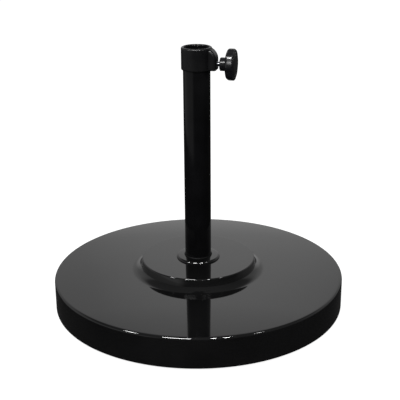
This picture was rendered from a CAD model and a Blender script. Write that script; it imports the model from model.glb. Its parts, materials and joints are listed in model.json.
import json
from math import atan2, cos, pi, radians, sin, sqrt, tan

import bmesh
import bpy
from mathutils import Matrix, Quaternion, Vector


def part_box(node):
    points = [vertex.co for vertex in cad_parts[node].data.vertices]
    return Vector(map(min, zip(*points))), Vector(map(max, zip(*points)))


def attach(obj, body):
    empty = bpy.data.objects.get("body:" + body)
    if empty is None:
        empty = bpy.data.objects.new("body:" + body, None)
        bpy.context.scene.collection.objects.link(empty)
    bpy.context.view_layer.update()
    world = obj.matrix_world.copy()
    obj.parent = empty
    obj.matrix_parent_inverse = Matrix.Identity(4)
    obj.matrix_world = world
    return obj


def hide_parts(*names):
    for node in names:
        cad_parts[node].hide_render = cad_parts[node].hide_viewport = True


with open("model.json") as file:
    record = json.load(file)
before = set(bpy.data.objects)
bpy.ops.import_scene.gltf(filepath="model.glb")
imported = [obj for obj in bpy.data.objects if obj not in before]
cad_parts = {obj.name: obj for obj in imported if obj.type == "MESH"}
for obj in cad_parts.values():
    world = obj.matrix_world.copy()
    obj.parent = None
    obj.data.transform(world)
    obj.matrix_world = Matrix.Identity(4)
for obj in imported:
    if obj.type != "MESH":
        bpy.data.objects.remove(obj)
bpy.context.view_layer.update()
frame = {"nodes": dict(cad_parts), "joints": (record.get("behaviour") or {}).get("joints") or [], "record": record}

scene = bpy.context.scene
nodes = frame["nodes"]
MM = 0.001

# ---------------------------------------------------------------- places read from the frame
cover_lo, cover_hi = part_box("base_cover")
tube_lo, tube_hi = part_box("stand_tube")
collar_lo, collar_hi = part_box("clamp_collar")
knob_lo, knob_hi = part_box("knob_body")
cap_lo, cap_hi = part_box("knob_cap")
screw_lo, screw_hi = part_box("clamp_screw")
flange_lo, flange_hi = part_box("foot_flange")
weld_lo, weld_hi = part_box("foot_weld")
pad_lo, pad_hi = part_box("pressure_pad")
back_screw_lo, back_screw_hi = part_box("collar_screw")

knob_turn = next(joint for joint in frame["joints"] if joint["name"] == "knob_turn")
pole_bore = next(mount for mount in frame["record"]["mounts"] if mount["name"] == "pole_bore")
screw_z = knob_turn["pos_m"][2]
bore_radius = pole_bore["dims"]["r_mm"] * MM
collar_screw_z = (back_screw_lo.z + back_screw_hi.z) / 2
tube_radius = (tube_hi.x - tube_lo.x) / 2
screw_radius = 4 * MM
thread_root = 2.9 * MM
thread_x = pad_hi.x + 0.2 * MM              # where the thread starts
screw_head_x = screw_hi.x - 5.3 * MM        # under the hexagon head
clamp_hole_radius = screw_radius + 0.5 * MM
back_hole_radius = 2 * MM

# ---------------------------------------------------------------- the pressed cover's outline
base_radius = (cover_hi.x - cover_lo.x) / 2
step_height = 27 * MM
edge_z = cover_hi.z - step_height
crown_rise = 9 * MM
crown_radius = (base_radius**2 + crown_rise**2) / (2 * crown_rise)
step_radius = 97.5 * MM
step_draft = radians(9)
cover_wall = 1.2 * MM
hem_lip = 12 * MM
rim_fillet = 4 * MM
hem_fillet = 2.5 * MM
step_edge_fillet = 2 * MM
flare_radius = 25 * MM
flare_slope = radians(43)
bolt_hole_radius = 6.5 * MM


def crown_z(radius):
    """Height of the cover's domed top face at a distance from the axis."""
    return edge_z + crown_rise - crown_radius + sqrt(crown_radius**2 - radius**2)


# ---------------------------------------------------------------- mesh helpers
CREASE = radians(32)


def mesh_object(name, vertices, faces, sharp=CREASE):
    """A smooth-shaded mesh object whose creases over the sharp angle stay crisp."""
    mesh = bpy.data.meshes.new(name)
    mesh.from_pydata([tuple(v) for v in vertices], [], faces)
    bm = bmesh.new()
    bm.from_mesh(mesh)
    bmesh.ops.remove_doubles(bm, verts=bm.verts, dist=1e-7)
    bmesh.ops.recalc_face_normals(bm, faces=bm.faces)
    bm.to_mesh(mesh)
    bm.free()
    mesh.shade_smooth()
    mesh.set_sharp_from_angle(angle=sharp)
    piece = bpy.data.objects.new(name, mesh)
    scene.collection.objects.link(piece)
    return piece


def rounded_outline(corners, steps=10):
    """Points along a line through (x, y, fillet radius) corners, with each fillet as an arc."""
    points = []
    for i, (x, y, radius) in enumerate(corners):
        here = Vector((x, y))
        if radius <= 0 or i == 0 or i == len(corners) - 1:
            points.append(here)
            continue
        before = (Vector(corners[i - 1][:2]) - here).normalized()
        after = (Vector(corners[i + 1][:2]) - here).normalized()
        half = before.angle(after) / 2
        reach = radius / tan(half)
        centre = here + (before + after).normalized() * (radius / sin(half))
        start = here + before * reach - centre
        turn = start.angle_signed(here + after * reach - centre)
        for k in range(steps + 1):
            points.append(centre + Matrix.Rotation(-turn * k / steps, 2) @ start)
    return points


def upright(along, radius, angle):
    """A point beside the tube's axis, at a height."""
    return (radius * cos(angle), radius * sin(angle), along)


def sideways(along, radius, angle):
    """A point beside the clamp screw's axis, at a distance along it from the tube."""
    return (along, radius * cos(angle), screw_z + radius * sin(angle))


def grid_object(name, rows, sharp=CREASE):
    """A closed skin over rows of points, each going once round, the last joined to the first."""
    count = len(rows[0])
    vertices = [point for row in rows for point in row]
    faces = []
    for i in range(len(rows)):
        here, after = i * count, (i + 1) % len(rows) * count
        for k in range(count):
            m = (k + 1) % count
            faces.append((here + k, here + m, after + m, after + k))
    return mesh_object(name, vertices, faces, sharp)


def round_angles(segments):
    return [2 * pi * k / segments for k in range(segments)]


def lathe(name, outline, segments, place=upright):
    """Turns a closed outline of (radius, distance along the axis) points."""
    angles = round_angles(segments)
    return grid_object(name, [[place(along, radius, a) for a in angles] for radius, along in outline])


def linked_mesh(name, bm):
    """An object in the scene made from a bmesh, which is freed."""
    mesh = bpy.data.meshes.new(name)
    bm.to_mesh(mesh)
    bm.free()
    piece = bpy.data.objects.new(name, mesh)
    scene.collection.objects.link(piece)
    return piece


def rod(name, radius, start, direction, length):
    """A plain round cutter."""
    bm = bmesh.new()
    turn = Vector((0, 0, 1)).rotation_difference(Vector(direction)).to_matrix().to_4x4()
    place = Matrix.Translation(start) @ turn @ Matrix.Translation((0, 0, length / 2))
    bmesh.ops.create_cone(
        bm, cap_ends=True, segments=48, radius1=radius, radius2=radius, depth=length, matrix=place)
    return linked_mesh(name, bm)


def block(name, size, centre):
    """A plain square cutter."""
    bm = bmesh.new()
    place = Matrix.Translation(centre) @ Matrix.Diagonal((*size, 1))
    bmesh.ops.create_cube(bm, size=1, matrix=place)
    return linked_mesh(name, bm)


def settle(piece):
    """Applies a piece's modifiers to its mesh."""
    shape = piece.evaluated_get(bpy.context.evaluated_depsgraph_get())
    mesh = bpy.data.meshes.new_from_object(shape)
    piece.modifiers.clear()
    piece.data = mesh


def bored(piece, *cutters):
    """Cuts rods or blocks out of a piece, for good."""
    for cutter in cutters:
        cut = piece.modifiers.new("cut", "BOOLEAN")
        cut.object = cutter
        cut.solver = "EXACT"
    settle(piece)
    for cutter in cutters:
        bpy.data.objects.remove(cutter, do_unlink=True)
    return piece


def stands_for(piece, material, body, slot, *replaced):
    """Finishes a piece: its material, the body it rides on, and the CAD nodes it shows instead of."""
    put_material(piece, material)
    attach(piece, body)
    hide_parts(*replaced)


def thickened(outline, wall):
    """A closed outline: the given open one and its copy moved in by the wall."""
    inner = []
    for i, p in enumerate(outline):
        before, after = outline[max(i - 1, 0)], outline[min(i + 1, len(outline) - 1)]
        along = (Vector(after) - Vector(before)).normalized()
        inner.append(Vector(p) + Vector((-along.y, along.x)) * wall)
    return list(outline) + inner[::-1]


# ---------------------------------------------------------------- node materials
def new_material(name):
    material = bpy.data.materials.new(name)
    material.use_nodes = True
    tree = material.node_tree
    return material, tree, tree.nodes["Principled BSDF"]


def add_node(tree, kind, **values):
    node = tree.nodes.new(kind)
    for key, value in values.items():
        if key in node.inputs:
            node.inputs[key].default_value = value
        else:
            setattr(node, key, value)
    return node


def noise(tree, scale, detail=2.0, roughness=0.5):
    """Noise in the piece's own metres, so its grain has a real size."""
    place = tree.nodes.get("Place") or add_node(tree, "ShaderNodeTexCoord", name="Place")
    texture = add_node(tree, "ShaderNodeTexNoise", Scale=scale, Detail=detail, Roughness=roughness)
    tree.links.new(place.outputs["Object"], texture.inputs["Vector"])
    return texture.outputs["Fac"]


def ramp(tree, source, low, high, at=(0.3, 0.7)):
    """Maps a 0 to 1 value onto the range from low to high, as numbers or as colours."""
    node = add_node(tree, "ShaderNodeValToRGB")
    for element, position, value in zip(node.color_ramp.elements, at, (low, high)):
        element.position = position
        element.color = (*value, 1) if isinstance(value, tuple) else (value, value, value, 1)
    tree.links.new(source, node.inputs["Fac"])
    return node.outputs["Color"]


def bump(tree, shader, *layers):
    """Chains (height source, distance in metres) layers into the shader's normal."""
    normal = None
    for height, distance in layers:
        node = add_node(tree, "ShaderNodeBump", Strength=1.0, Distance=distance)
        tree.links.new(height, node.inputs["Height"])
        if normal:
            tree.links.new(normal, node.inputs["Normal"])
        normal = node.outputs["Normal"]
    tree.links.new(normal, shader.inputs["Normal"])


def gloss_paint():
    """Black gloss enamel on pressed steel: deep, with a faint orange peel."""
    material, tree, shader = new_material("gloss_paint")
    shader.inputs["IOR"].default_value = 1.5
    tone = ramp(tree, noise(tree, 14, 3), (0.0016, 0.0016, 0.0017), (0.0026, 0.0026, 0.0027))
    tree.links.new(tone, shader.inputs["Base Color"])
    rough = ramp(tree, noise(tree, 35, 4, 0.6), 0.035, 0.06)
    tree.links.new(rough, shader.inputs["Roughness"])
    bump(tree, shader, (noise(tree, 160, 1), 0.000004))
    return material


def tube_paint(name, index, rough_low, rough_high):
    """Black powder coat on steel: darker and softer than the cover's enamel."""
    material, tree, shader = new_material(name)
    shader.inputs["IOR"].default_value = index
    tone = ramp(tree, noise(tree, 22, 3), (0.0009, 0.0009, 0.001), (0.0018, 0.0018, 0.002))
    tree.links.new(tone, shader.inputs["Base Color"])
    rough = ramp(tree, noise(tree, 60, 4, 0.6), rough_low, rough_high)
    tree.links.new(rough, shader.inputs["Roughness"])
    bump(tree, shader, (noise(tree, 700, 2), 0.00001))
    return material


def moulded_black(name, index, tone_low, tone_high, rough_low, rough_high, grain):
    """Moulded black plastic with a fine spark-eroded grain."""
    material, tree, shader = new_material(name)
    shader.inputs["IOR"].default_value = index
    tree.links.new(ramp(tree, noise(tree, 30, 3), tone_low, tone_high), shader.inputs["Base Color"])
    tree.links.new(ramp(tree, noise(tree, 180, 4, 0.6), rough_low, rough_high), shader.inputs["Roughness"])
    bump(tree, shader, (noise(tree, 2600, 2), grain))
    return material


def plated_steel(name, tone_low, tone_high, rough_low, rough_high):
    """Bare or plated steel with a cloudy finish."""
    material, tree, shader = new_material(name)
    shader.inputs["Metallic"].default_value = 1.0
    tree.links.new(ramp(tree, noise(tree, 90, 4, 0.6), tone_low, tone_high), shader.inputs["Base Color"])
    tree.links.new(ramp(tree, noise(tree, 400, 4, 0.6), rough_low, rough_high), shader.inputs["Roughness"])
    bump(tree, shader, (noise(tree, 3000, 2), 0.000004))
    return material


def concrete():
    """Cast concrete: cloudy grey with air holes and a sandy face."""
    material, tree, shader = new_material("cast_concrete")
    tone = ramp(tree, noise(tree, 25, 6, 0.65), (0.24, 0.23, 0.215), (0.42, 0.41, 0.39))
    tree.links.new(tone, shader.inputs["Base Color"])
    shader.inputs["Roughness"].default_value = 0.92
    bump(tree, shader, (noise(tree, 90, 6, 0.7), 0.0006), (noise(tree, 900, 3), 0.0001))
    return material


def rubber():
    """Black rubber feet, scuffed grey in patches."""
    material, tree, shader = new_material("foot_rubber")
    tone = ramp(tree, noise(tree, 120, 5, 0.65), (0.012, 0.012, 0.012), (0.035, 0.034, 0.033))
    tree.links.new(tone, shader.inputs["Base Color"])
    tree.links.new(ramp(tree, noise(tree, 300, 3), 0.6, 0.85), shader.inputs["Roughness"])
    bump(tree, shader, (noise(tree, 1500, 3), 0.00004))
    return material


def light_plastic(name, tone_low, tone_high):
    """Natural or grey nylon, slightly waxy."""
    material, tree, shader = new_material(name)
    tree.links.new(ramp(tree, noise(tree, 80, 3), tone_low, tone_high), shader.inputs["Base Color"])
    tree.links.new(ramp(tree, noise(tree, 300, 3), 0.35, 0.5), shader.inputs["Roughness"])
    bump(tree, shader, (noise(tree, 1800, 2), 0.00001))
    return material


def put_material(piece, material):
    piece.data.materials.clear()
    piece.data.materials.append(material)


paint = gloss_paint()
tube_coat = tube_paint("tube_coat", 1.26, 0.06, 0.1)
collar_plastic = moulded_black(
    "collar_plastic", 1.36, (0.0014, 0.0014, 0.0016), (0.0024, 0.0024, 0.0026), 0.26, 0.34, 0.000006)
knob_plastic = moulded_black(
    "knob_plastic", 1.46, (0.0018, 0.0018, 0.0024), (0.003, 0.003, 0.0038), 0.18, 0.26, 0.000004)
cap_plastic = moulded_black(
    "cap_plastic", 1.42, (0.0022, 0.0022, 0.0026), (0.0036, 0.0036, 0.0042), 0.12, 0.2, 0.000002)
weld_coat = tube_paint("weld_coat", 1.15, 0.4, 0.5)
dark_steel = plated_steel("dark_steel", (0.03, 0.03, 0.032), (0.06, 0.06, 0.064), 0.3, 0.42)
screw_steel = plated_steel("screw_steel", (0.52, 0.54, 0.57), (0.66, 0.68, 0.70), 0.14, 0.24)
zinc_steel = plated_steel("zinc_steel", (0.45, 0.45, 0.44), (0.62, 0.61, 0.58), 0.3, 0.45)
plug_steel = plated_steel("plug_steel", (0.20, 0.20, 0.21), (0.34, 0.33, 0.32), 0.4, 0.6)
concrete_face = concrete()
foot_rubber = rubber()
pad_nylon = light_plastic("pad_nylon", (0.62, 0.60, 0.54), (0.74, 0.73, 0.68))
sleeve_plastic = light_plastic("sleeve_plastic", (0.16, 0.17, 0.18), (0.24, 0.25, 0.26))

for node, material in {
    "bottom_plate": tube_coat,
    "concrete_core": concrete_face,
    "core_sleeve": sleeve_plastic,
    "foot_plugs": sleeve_plastic,
    "foot_screws": zinc_steel,
    "plate_washer": zinc_steel,
    "spring_washer": zinc_steel,
    "centre_bolt": zinc_steel,
    "tube_plug": plug_steel,
    "clamp_nut": zinc_steel,
    "pressure_pad": pad_nylon,
}.items():
    put_material(nodes[node], material)


# ---------------------------------------------------------------- cover
def flare_points(steps=24):
    """The step's flared foot: an arc from the wall's crease out to where it meets the dome."""
    lean = tan(step_draft)
    dome_centre_z = edge_z + crown_rise - crown_radius
    across = step_radius + cover_hi.z * lean + flare_radius * sin(flare_slope)
    rise = flare_radius * cos(flare_slope) - dome_centre_z
    reach = crown_radius + flare_radius
    half = rise - across * lean
    square = 1 + lean**2
    crease_z = (sqrt(half**2 - square * (across**2 + rise**2 - reach**2)) - half) / square
    crease_radius = step_radius + (cover_hi.z - crease_z) * lean
    centre = Vector((
        crease_radius + flare_radius * sin(flare_slope), crease_z + flare_radius * cos(flare_slope)))
    end_slope = atan2(centre.x, centre.y - dome_centre_z)
    points = []
    for k in range(steps + 1):
        slope = end_slope + (flare_slope - end_slope) * k / steps
        points.append(centre - Vector((sin(slope), cos(slope))) * flare_radius)
    return points


def cover_shell():
    """The pressed cover as one turned sheet: hem, side, domed top, step and bolt hole."""
    rings = 40
    flare = flare_points()
    corners = [
        (base_radius - hem_lip, cover_lo.z, 0),
        (base_radius, cover_lo.z, hem_fillet),
        (base_radius, edge_z, rim_fillet),
    ]
    for k in range(1, rings):
        radius = base_radius + (flare[0].x - base_radius) * k / rings
        if radius < base_radius - rim_fillet:
            corners.append((radius, crown_z(radius), 0))
    corners += [(p.x, p.y, 0) for p in flare]
    corners += [
        (step_radius, cover_hi.z, step_edge_fillet),
        (bolt_hole_radius, cover_hi.z, 0),
    ]
    return lathe("cover_shell", thickened(rounded_outline(corners, 14), cover_wall), 360)


stands_for(cover_shell(), paint, "base", "cover_paint", "base_cover")


# ---------------------------------------------------------------- tube and flange
def flange_disc():
    """The round plate under the tube, its top falling a little to a rolled edge."""
    outer, hole = (flange_hi.x - flange_lo.x) / 2, bolt_hole_radius
    droop, roll = 0.9 * MM, 3.8 * MM
    corners = [
        (hole, flange_lo.z, 0),
        (outer, flange_lo.z, 0.4 * MM),
        (outer, flange_hi.z - droop, roll),
        (weld_hi.x + 1.5 * MM, flange_hi.z, 6 * MM),
        (hole, flange_hi.z, 0),
    ]
    return lathe("flange_disc", rounded_outline(corners, 16), 192)


def weld_bead():
    """The bead round the tube's foot: overlapping ripples laid as the torch went round."""
    ripples, ripple, lag = 64, 0.16 * MM, 0.05
    width, height = weld_hi.x - tube_radius, weld_hi.z - weld_lo.z
    angles, arc = round_angles(512), 10
    rows = []
    for i in range(arc + 1):
        t = pi / 2 * i / arc
        row = []
        for a in angles:
            dip = 0.5 + 0.5 * cos(ripples * (a + lag * sin(2 * t)))
            swell = 1 - ripple / width * dip * sin(2 * t)
            z, radius = weld_lo.z + height * sin(t) * swell, tube_radius + width * cos(t) * swell
            row.append(upright(z, radius, a))
        rows.append(row)
    inside = tube_radius - 0.3 * MM
    rows.append([upright(weld_hi.z, inside, a) for a in angles])
    rows.append([upright(weld_lo.z, inside, a) for a in angles])
    return grid_object("weld_bead", rows)


def stand_pipe():
    """The stand tube with its clamp hole and collar screw hole cut through the wall."""
    corners = [
        (tube_radius, tube_lo.z, 0.3 * MM),
        (tube_radius, tube_hi.z, 0.4 * MM),
        (bore_radius, tube_hi.z, 0.4 * MM),
        (bore_radius, tube_lo.z, 0.3 * MM),
    ]
    pipe = lathe("stand_pipe", rounded_outline(corners + corners[:1], 3), 160)
    clamp_hole = rod("clamp_hole", clamp_hole_radius, (0, 0, screw_z), (1, 0, 0), 2 * tube_radius)
    screw_hole = rod("screw_hole", back_hole_radius, (0, 0, collar_screw_z), (0, 1, 0), 2 * tube_radius)
    return bored(pipe, clamp_hole, screw_hole)


stands_for(flange_disc(), paint, "base", "cover_paint", "foot_flange")
stands_for(weld_bead(), weld_coat, "base", "cover_paint", "foot_weld")
stands_for(stand_pipe(), tube_coat, "base", "tube_paint", "stand_tube")


# ---------------------------------------------------------------- collar
def moulded_collar():
    """The collar with its boss blended in, as a moulding: the CAD solid, reskinned and softened."""
    piece = bpy.data.objects.new("moulded_collar", nodes["clamp_collar"].data.copy())
    scene.collection.objects.link(piece)
    skin = piece.modifiers.new("skin", "REMESH")
    skin.mode = "VOXEL"
    skin.voxel_size = 0.42 * MM
    soften = piece.modifiers.new("soften", "SMOOTH")
    soften.factor = 0.5
    soften.iterations = 14
    settle(piece)
    piece.data.shade_smooth()
    lows = Vector([min(v.co[i] for v in piece.data.vertices) for i in range(3)])
    highs = Vector([max(v.co[i] for v in piece.data.vertices) for i in range(3)])
    for vertex in piece.data.vertices:
        for i in range(3):
            share = (vertex.co[i] - lows[i]) / (highs[i] - lows[i])
            vertex.co[i] = collar_lo[i] + share * (collar_hi[i] - collar_lo[i])
    return piece


def pan_screw():
    """The collar's back screw: a domed pan head with a cross recess."""
    radius, height, rim = 3.8 * MM, 2.4 * MM, 1.0 * MM
    shank, shank_length = 1.9 * MM, 4 * MM
    slot_width, slot_length = 0.95 * MM, 4.2 * MM
    seat_y = back_screw_hi.y - height
    corners = [
        (0, seat_y - shank_length, 0),
        (shank, seat_y - shank_length, 0),
        (shank, seat_y, 0),
        (radius, seat_y, 0.2 * MM),
        (radius, seat_y + rim, 0.9 * MM),
        (1.6 * MM, back_screw_hi.y, 3 * MM),
        (0, back_screw_hi.y, 0),
    ]

    def backwards(along, radius, angle):
        return (radius * sin(angle), along, collar_screw_z + radius * cos(angle))

    head = lathe("pan_screw", rounded_outline(corners, 6), 64, backwards)
    slots = []
    for number, (wide, tall) in enumerate(((slot_width, slot_length), (slot_length, slot_width))):
        centre = (0, back_screw_hi.y + 0.1 * MM, collar_screw_z)
        slots.append(block(f"slot_{number}", (wide, height, tall), centre))
    return bored(head, *slots)


stands_for(moulded_collar(), collar_plastic, "base", "collar_plastic", "clamp_collar")
stands_for(pan_screw(), dark_steel, "base", "collar_screw_steel", "collar_screw")


# ---------------------------------------------------------------- clamp screw and knob
def thread_radius(along, angle):
    """Radius of the clamp screw's right-hand thread at a place on it."""
    pitch, depth = 1.25 * MM, 0.72 * MM
    phase = (along / pitch - angle / (2 * pi)) % 1
    flank = min(max((abs(2 * phase - 1) - 0.14) / 0.66, 0), 1)
    return screw_radius - depth * flank


def threaded_screw():
    """The clamp screw: its pin in the pad, the thread, and the hexagon head in the knob."""
    angles = round_angles(72)
    pin_radius, chamfer = 2 * MM, 0.3 * MM
    pin = (
        (screw_lo.x, 0.05 * MM),
        (screw_lo.x, pin_radius - chamfer),
        (screw_lo.x + chamfer, pin_radius),
        (thread_x, pin_radius),
        (thread_x, thread_root),
    )
    rows = [[sideways(along, radius, a) for a in angles] for along, radius in pin]
    steps = round((screw_head_x - thread_x) / (0.125 * MM))
    for i in range(steps + 1):
        along = thread_x + (screw_head_x - thread_x) * i / steps
        lead = min(thread_root + (along - thread_x), screw_radius)
        rows.append([sideways(along, min(thread_radius(along, a), lead), a) for a in angles])
    half_flats = 6.5 * MM

    def hexagon(angle):
        return half_flats / cos((angle + pi / 6) % (pi / 3) - pi / 6)

    head = (
        (screw_head_x, 0.97),
        (screw_head_x + 0.2 * MM, 1),
        (screw_hi.x - 0.4 * MM, 1),
        (screw_hi.x, 0.9),
        (screw_hi.x, 0.01),
    )
    for along, share in head:
        rows.append([sideways(along, hexagon(a) * share, a) for a in angles])
    return grid_object("threaded_screw", rows, radians(50))


def lobed_knob():
    """The hand knob: a smooth hub and a rounded head whose edge is scalloped into eight soft lobes."""
    hub_radius, hub_length, bore = 11 * MM, 11.5 * MM, 4.1 * MM
    lobes, scallop = 8, 0.9 * MM
    face_x = knob_hi.x + 0.5 * MM
    radius = (knob_hi.z - knob_lo.z) / 2
    head_x = knob_lo.x + hub_length
    cap_radius = (cap_hi.z - cap_lo.z) / 2 + 0.15 * MM
    corners = [
        (bore, knob_lo.x, 0),
        (hub_radius, knob_lo.x, 1.2 * MM),
        (hub_radius, head_x, 1.8 * MM),
        (radius, head_x, 4.2 * MM),
        (radius, face_x, 2.4 * MM),
        (cap_radius, face_x, 0.5 * MM),
        (cap_radius, cap_lo.x, 0),
        (bore, cap_lo.x, 0),
    ]
    plain_radius = cap_radius + 0.6 * MM    # no scallops inside this
    angles = round_angles(384)
    rows = []
    for r, along in rounded_outline(corners, 12):
        share = min(max((r - plain_radius) / (radius - plain_radius), 0), 1)
        dips = [(0.5 - 0.5 * cos(lobes * a)) ** 1.3 for a in angles]
        rows.append([sideways(along, r - scallop * share * dip, a) for a, dip in zip(angles, dips)])
    return grid_object("lobed_knob", rows, radians(40))


def pressed_cap():
    """The disc in the knob's outer face: slightly crowned, with one fine ring round it."""
    radius = (cap_hi.z - cap_lo.z) / 2
    front, back = cap_hi.x, cap_lo.x
    corners = [
        (0.02 * MM, back, 0),
        (radius, back, 0.2 * MM),
        (radius, front - 0.25 * MM, 1.1 * MM),
        (radius - 3.2 * MM, front - 0.12 * MM, 0),
        (radius - 3.6 * MM, front - 0.5 * MM, 0.2 * MM),
        (radius - 4.2 * MM, front - 0.5 * MM, 0.2 * MM),
        (radius - 4.6 * MM, front - 0.08 * MM, 0.3 * MM),
        (0.02 * MM, front, 0),
    ]
    return lathe("pressed_cap", rounded_outline(corners, 6), 160, sideways)


stands_for(threaded_screw(), screw_steel, "knob", "screw_steel", "clamp_screw")
stands_for(lobed_knob(), knob_plastic, "knob", "knob_plastic", "knob_body")
stands_for(pressed_cap(), cap_plastic, "knob", "cap_plastic", "knob_cap")


# ---------------------------------------------------------------- feet
def moulded_foot(name):
    """A rubber foot: tapered, with its screw recess and two grooves moulded in its tread."""
    lo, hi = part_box(name)
    top, tread, recess, hole = (hi.x - lo.x) / 2, 14 * MM, 5.05 * MM, 2.8 * MM
    recess_z = lo.z + 3.6 * MM
    groove = 0.7 * MM
    corners = [(hole, hi.z, 0), (top, hi.z, 0.6 * MM), (tread, lo.z, 1.2 * MM)]
    for middle in (11 * MM, 8 * MM):
        corners += [
            (middle + groove, lo.z, 0.2 * MM),
            (middle + groove / 2, lo.z + groove, 0.2 * MM),
            (middle - groove / 2, lo.z + groove, 0.2 * MM),
            (middle - groove, lo.z, 0.2 * MM),
        ]
    corners += [(recess, lo.z, 0.3 * MM), (recess, recess_z, 0.3 * MM), (hole, recess_z, 0)]
    middle = (lo + hi) / 2

    def beside(along, radius, angle):
        return (middle.x + radius * cos(angle), middle.y + radius * sin(angle), along)

    return lathe("moulded_" + name, rounded_outline(corners, 4), 72, beside)


for name in nodes:
    if name.startswith("rubber_foot"):
        stands_for(moulded_foot(name), foot_rubber, "base", "foot_rubber", name)

# ---------------------------------------------------------------- camera
# The camera stands off the tube's axis, on the knob's side of the front, and
# looks down at the base. Distances are in base radii, so it follows the size.
camera_azimuth = radians(14.3)
camera_distance = 6.063 * base_radius
camera_height = edge_z + 2.747 * base_radius
camera_pitch = radians(20.13)
camera_yaw = radians(0.144)
camera_roll = radians(-0.45)

camera_data = bpy.data.cameras.new("camera")
camera_data.sensor_width = 36.0
camera_data.lens = 84.96
camera = bpy.data.objects.new("camera", camera_data)
scene.collection.objects.link(camera)
camera.location = (
    camera_distance * sin(camera_azimuth),
    -camera_distance * cos(camera_azimuth),
    camera_height,
)
heading = camera_azimuth - camera_yaw
forward = Vector((
    -sin(heading) * cos(camera_pitch),
    cos(heading) * cos(camera_pitch),
    -sin(camera_pitch),
))
camera.rotation_mode = "QUATERNION"
camera.rotation_quaternion = forward.to_track_quat("-Z", "Y") @ Quaternion((0, 0, 1), camera_roll)
scene.camera = camera


# ---------------------------------------------------------------- floor and light
def pale_floor():
    """A wide white floor that stays white under the base."""
    vertices = [(x, y, 0) for x, y in ((-9, -9), (9, -9), (9, 9), (-9, 9))]
    floor = mesh_object("floor", vertices, [(0, 1, 2, 3)])
    material, tree, shader = new_material("floor_white")
    shader.inputs["Base Color"].default_value = (0.14, 0.14, 0.14, 1)
    shader.inputs["Roughness"].default_value = 1.0
    shader.inputs["Specular IOR Level"].default_value = 0.0
    shader.inputs["Emission Color"].default_value = (1, 1, 1, 1)
    shader.inputs["Emission Strength"].default_value = 0.92
    put_material(floor, material)
    floor.visible_glossy = False


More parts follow.
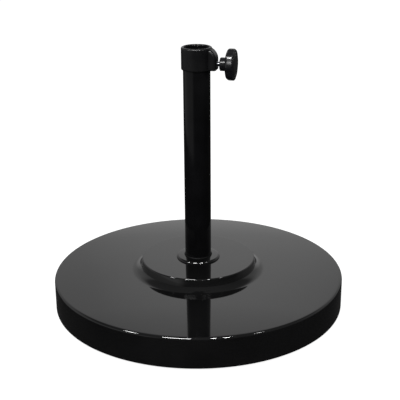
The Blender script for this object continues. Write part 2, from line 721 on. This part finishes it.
def studio_world():
    """White to the eye and to the floor; gloss mirrors a bright backdrop and a dim room."""
    world = bpy.data.worlds.new("studio")
    scene.world = world
    world.use_nodes = True
    tree = world.node_tree
    tree.nodes.clear()
    link = tree.links.new

    direction = add_node(tree, "ShaderNodeTexCoord")
    parts = add_node(tree, "ShaderNodeSeparateXYZ")
    link(direction.outputs["Generated"], parts.inputs[0])
    level = add_node(tree, "ShaderNodeVectorMath", operation="MULTIPLY")
    level.inputs[1].default_value = (1, 1, 0)
    link(direction.outputs["Generated"], level.inputs[0])
    heading = add_node(tree, "ShaderNodeVectorMath", operation="NORMALIZE")
    link(level.outputs[0], heading.inputs[0])

    def stepped(source, stops):
        """Brightness from (place, value) stops along a source that runs from -1 to 1."""
        share = add_node(tree, "ShaderNodeMapRange")
        share.inputs["From Min"].default_value = -1
        link(source, share.inputs["Value"])
        node = add_node(tree, "ShaderNodeValToRGB")
        elements = node.color_ramp.elements
        while len(elements) < len(stops):
            elements.new(0.5)
        for element, (place, value) in zip(elements, stops):
            element.position = (place + 1) / 2
            element.color = (value, value, value, 1)
        link(share.outputs["Result"], node.inputs["Fac"])
        return node.outputs["Color"]

    def by_elevation(stops):
        """Brightness from (elevation in degrees, value) stops."""
        return stepped(parts.outputs["Z"], [(sin(radians(up)), value) for up, value in stops])

    def by_heading(azimuth, stops):
        """Brightness from (degrees away from an azimuth, value) stops; 0 is the camera's side."""
        around = camera_azimuth + radians(azimuth)
        toward = add_node(tree, "ShaderNodeVectorMath", operation="DOT_PRODUCT")
        toward.inputs[1].default_value = (sin(around), -cos(around), 0)
        link(heading.outputs[0], toward.inputs[0])
        along = [(cos(radians(away)), value) for away, value in reversed(stops)]
        return stepped(toward.outputs["Value"], along)

    def combined(operation, first, second):
        node = add_node(tree, "ShaderNodeMath", operation=operation)
        link(first, node.inputs[0])
        link(second, node.inputs[1])
        return node.outputs[0]

    backdrop = combined("MULTIPLY",
        by_elevation([(-1, 0.0), (4, 1.1), (13, 1.08), (17, 0.91), (23, 1.0),
                      (31, 1.17), (36, 1.0), (40, 0.5), (47, 0.0)]),
        by_heading(177.5, [(0, 1.0), (5, 0.97), (13, 0.74), (30, 0.6), (75, 0.5), (120, 0.0)]))
    panel = combined("MULTIPLY",
        by_elevation([(-11.5, 0.0), (-10, 0.65), (14, 0.65), (20, 0.0)]),
        by_heading(-75, [(0, 1.0), (35, 1.0), (50, 0.2), (70, 0.0)]))
    room = by_elevation([(-20, 0.035), (-9, 0.04), (0, 0.12), (10, 0.22),
                         (38, 0.22), (50, 0.16), (70, 0.2)])
    mirrored = combined("MAXIMUM", combined("MAXIMUM", backdrop, panel), room)

    path = add_node(tree, "ShaderNodeLightPath")
    plain = combined("MAXIMUM", path.outputs["Is Camera Ray"], path.outputs["Is Diffuse Ray"])
    strength = add_node(tree, "ShaderNodeMix", data_type="FLOAT")
    link(plain, strength.inputs["Factor"])
    link(mirrored, strength.inputs[2])
    strength.inputs[3].default_value = 1.0

    background = add_node(tree, "ShaderNodeBackground")
    output = add_node(tree, "ShaderNodeOutputWorld")
    link(strength.outputs[0], background.inputs["Strength"])
    link(background.outputs[0], output.inputs["Surface"])


def studio_lamp(name, azimuth, elevation, width, radiance):
    """A small softbox in front of the base, left out of reflections of reflections."""
    distance, height = 2.6, 0.3
    data = bpy.data.lights.new(name, "AREA")
    data.shape = "RECTANGLE"
    data.size = width
    data.size_y = height
    data.energy = radiance * width * height * pi
    data.use_nodes = True
    tree = data.node_tree
    path = add_node(tree, "ShaderNodeLightPath")
    early = add_node(tree, "ShaderNodeMath", operation="LESS_THAN")
    early.inputs[1].default_value = 2.5
    tree.links.new(path.outputs["Ray Depth"], early.inputs[0])
    tree.links.new(early.outputs[0], tree.nodes["Emission"].inputs["Strength"])
    lamp = bpy.data.objects.new(name, data)
    scene.collection.objects.link(lamp)
    around = camera_azimuth + azimuth
    target = Vector((0, 0, cover_hi.z))
    away = Vector((sin(around) * cos(elevation), -cos(around) * cos(elevation), sin(elevation)))
    lamp.location = target + away * distance
    lamp.rotation_mode = "QUATERNION"
    lamp.rotation_quaternion = away.to_track_quat("Z", "Y")
    lamp.visible_camera = False


pale_floor()
studio_world()
# Each lamp: azimuth to the camera's right and elevation in degrees, width in metres, radiance.
lamps = (
    (-66, 50, 0.34, 75),
    (-20, 50, 0.76, 100),
    (13, 50, 0.12, 130),
    (25, 50, 0.17, 130),
    (57, 50, 0.20, 35),
)
for number, (azimuth, elevation, width, radiance) in enumerate(lamps, start=1):
    studio_lamp(f"lamp_{number}", radians(azimuth), radians(elevation), width, radiance)

scene.view_settings.view_transform = "Standard"
